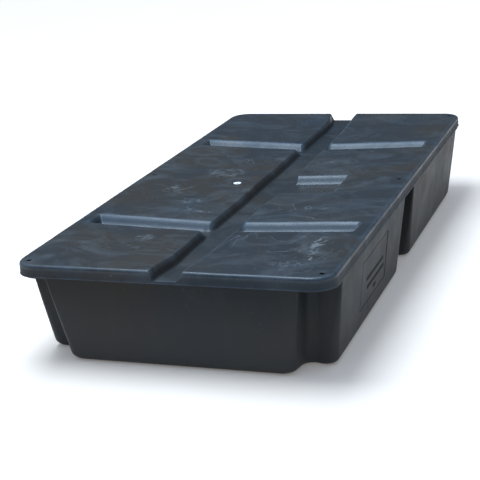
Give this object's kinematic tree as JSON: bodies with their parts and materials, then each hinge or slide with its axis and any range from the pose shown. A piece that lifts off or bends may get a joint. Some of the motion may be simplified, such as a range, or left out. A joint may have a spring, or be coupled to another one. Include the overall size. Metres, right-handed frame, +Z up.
{
  "type": "spill containment pallet",
  "caption": "Low rectangular spill pallet: a moulded deck with drainage channels and a pocket, bolted over a hollow drafted sump tub with notched corners.",
  "frame": {"origin": "middle of the tub's underside, on the ground", "axes": "+Z up; +Y along the length, away from the end that faces the viewer; +X across, towards the label panel's side"},
  "size_m": [1.204, 2.404, 0.386],
  "materials": {
    "black_pe": "satin moulded polyethylene, weathered",
    "dark_fitting": "satin",
    "white_plug": "smooth",
    "grey_pipe": "satin",
    "rubber": "matte"
  },
  "bodies": {
    "sump": {"sump_tub": "black_pe", "rim_gasket": "rubber", "support_column_1": "grey_pipe", "support_column_2": "grey_pipe", "support_column_3": "grey_pipe", "support_column_4": "grey_pipe", "support_column_5": "grey_pipe", "support_column_6": "grey_pipe", "support_column_7": "grey_pipe", "support_column_8": "grey_pipe", "drain_insert": "dark_fitting", "label_panel": "black_pe"},
    "deck": {"deck": "black_pe", "port_insert": "dark_fitting"},
    "port_seal": {"port_seal": "rubber"},
    "port_plug": {"port_plug": "white_plug"},
    "drain_seal": {"drain_seal": "rubber"},
    "drain_plug": {"drain_plug": "dark_fitting"}
  },
  "joints": [
    {"name": "deck_lift", "type": "slide", "parent": "sump", "child": "deck", "axis": [0, 0, 1], "range_m": [0, 0.3]},
    {"name": "port_plug_turn", "type": "hinge", "parent": "deck", "child": "port_seal", "pos_m": [-0.146, -0.046, 0.36585], "axis": [0, 0, 1], "range_deg": [0, 2880]},
    {"name": "port_plug_rise", "type": "slide", "parent": "port_seal", "child": "port_plug", "axis": [0, 0, 1], "range_m": [0, 0.0325]},
    {"name": "drain_plug_turn", "type": "hinge", "parent": "sump", "child": "drain_seal", "pos_m": [-0.25, 1.16, 0.054], "axis": [0, 1, 0], "range_deg": [0, 2880]},
    {"name": "drain_plug_out", "type": "slide", "parent": "drain_seal", "child": "drain_plug", "axis": [0, 1, 0], "range_m": [0, 0.0325]}
  ],
  "couplings": [
    {"joint": "port_plug_rise", "follows": "port_plug_turn", "m_per_rad": 0.00063662},
    {"joint": "drain_plug_out", "follows": "drain_plug_turn", "m_per_rad": 0.00063662}
  ]
}
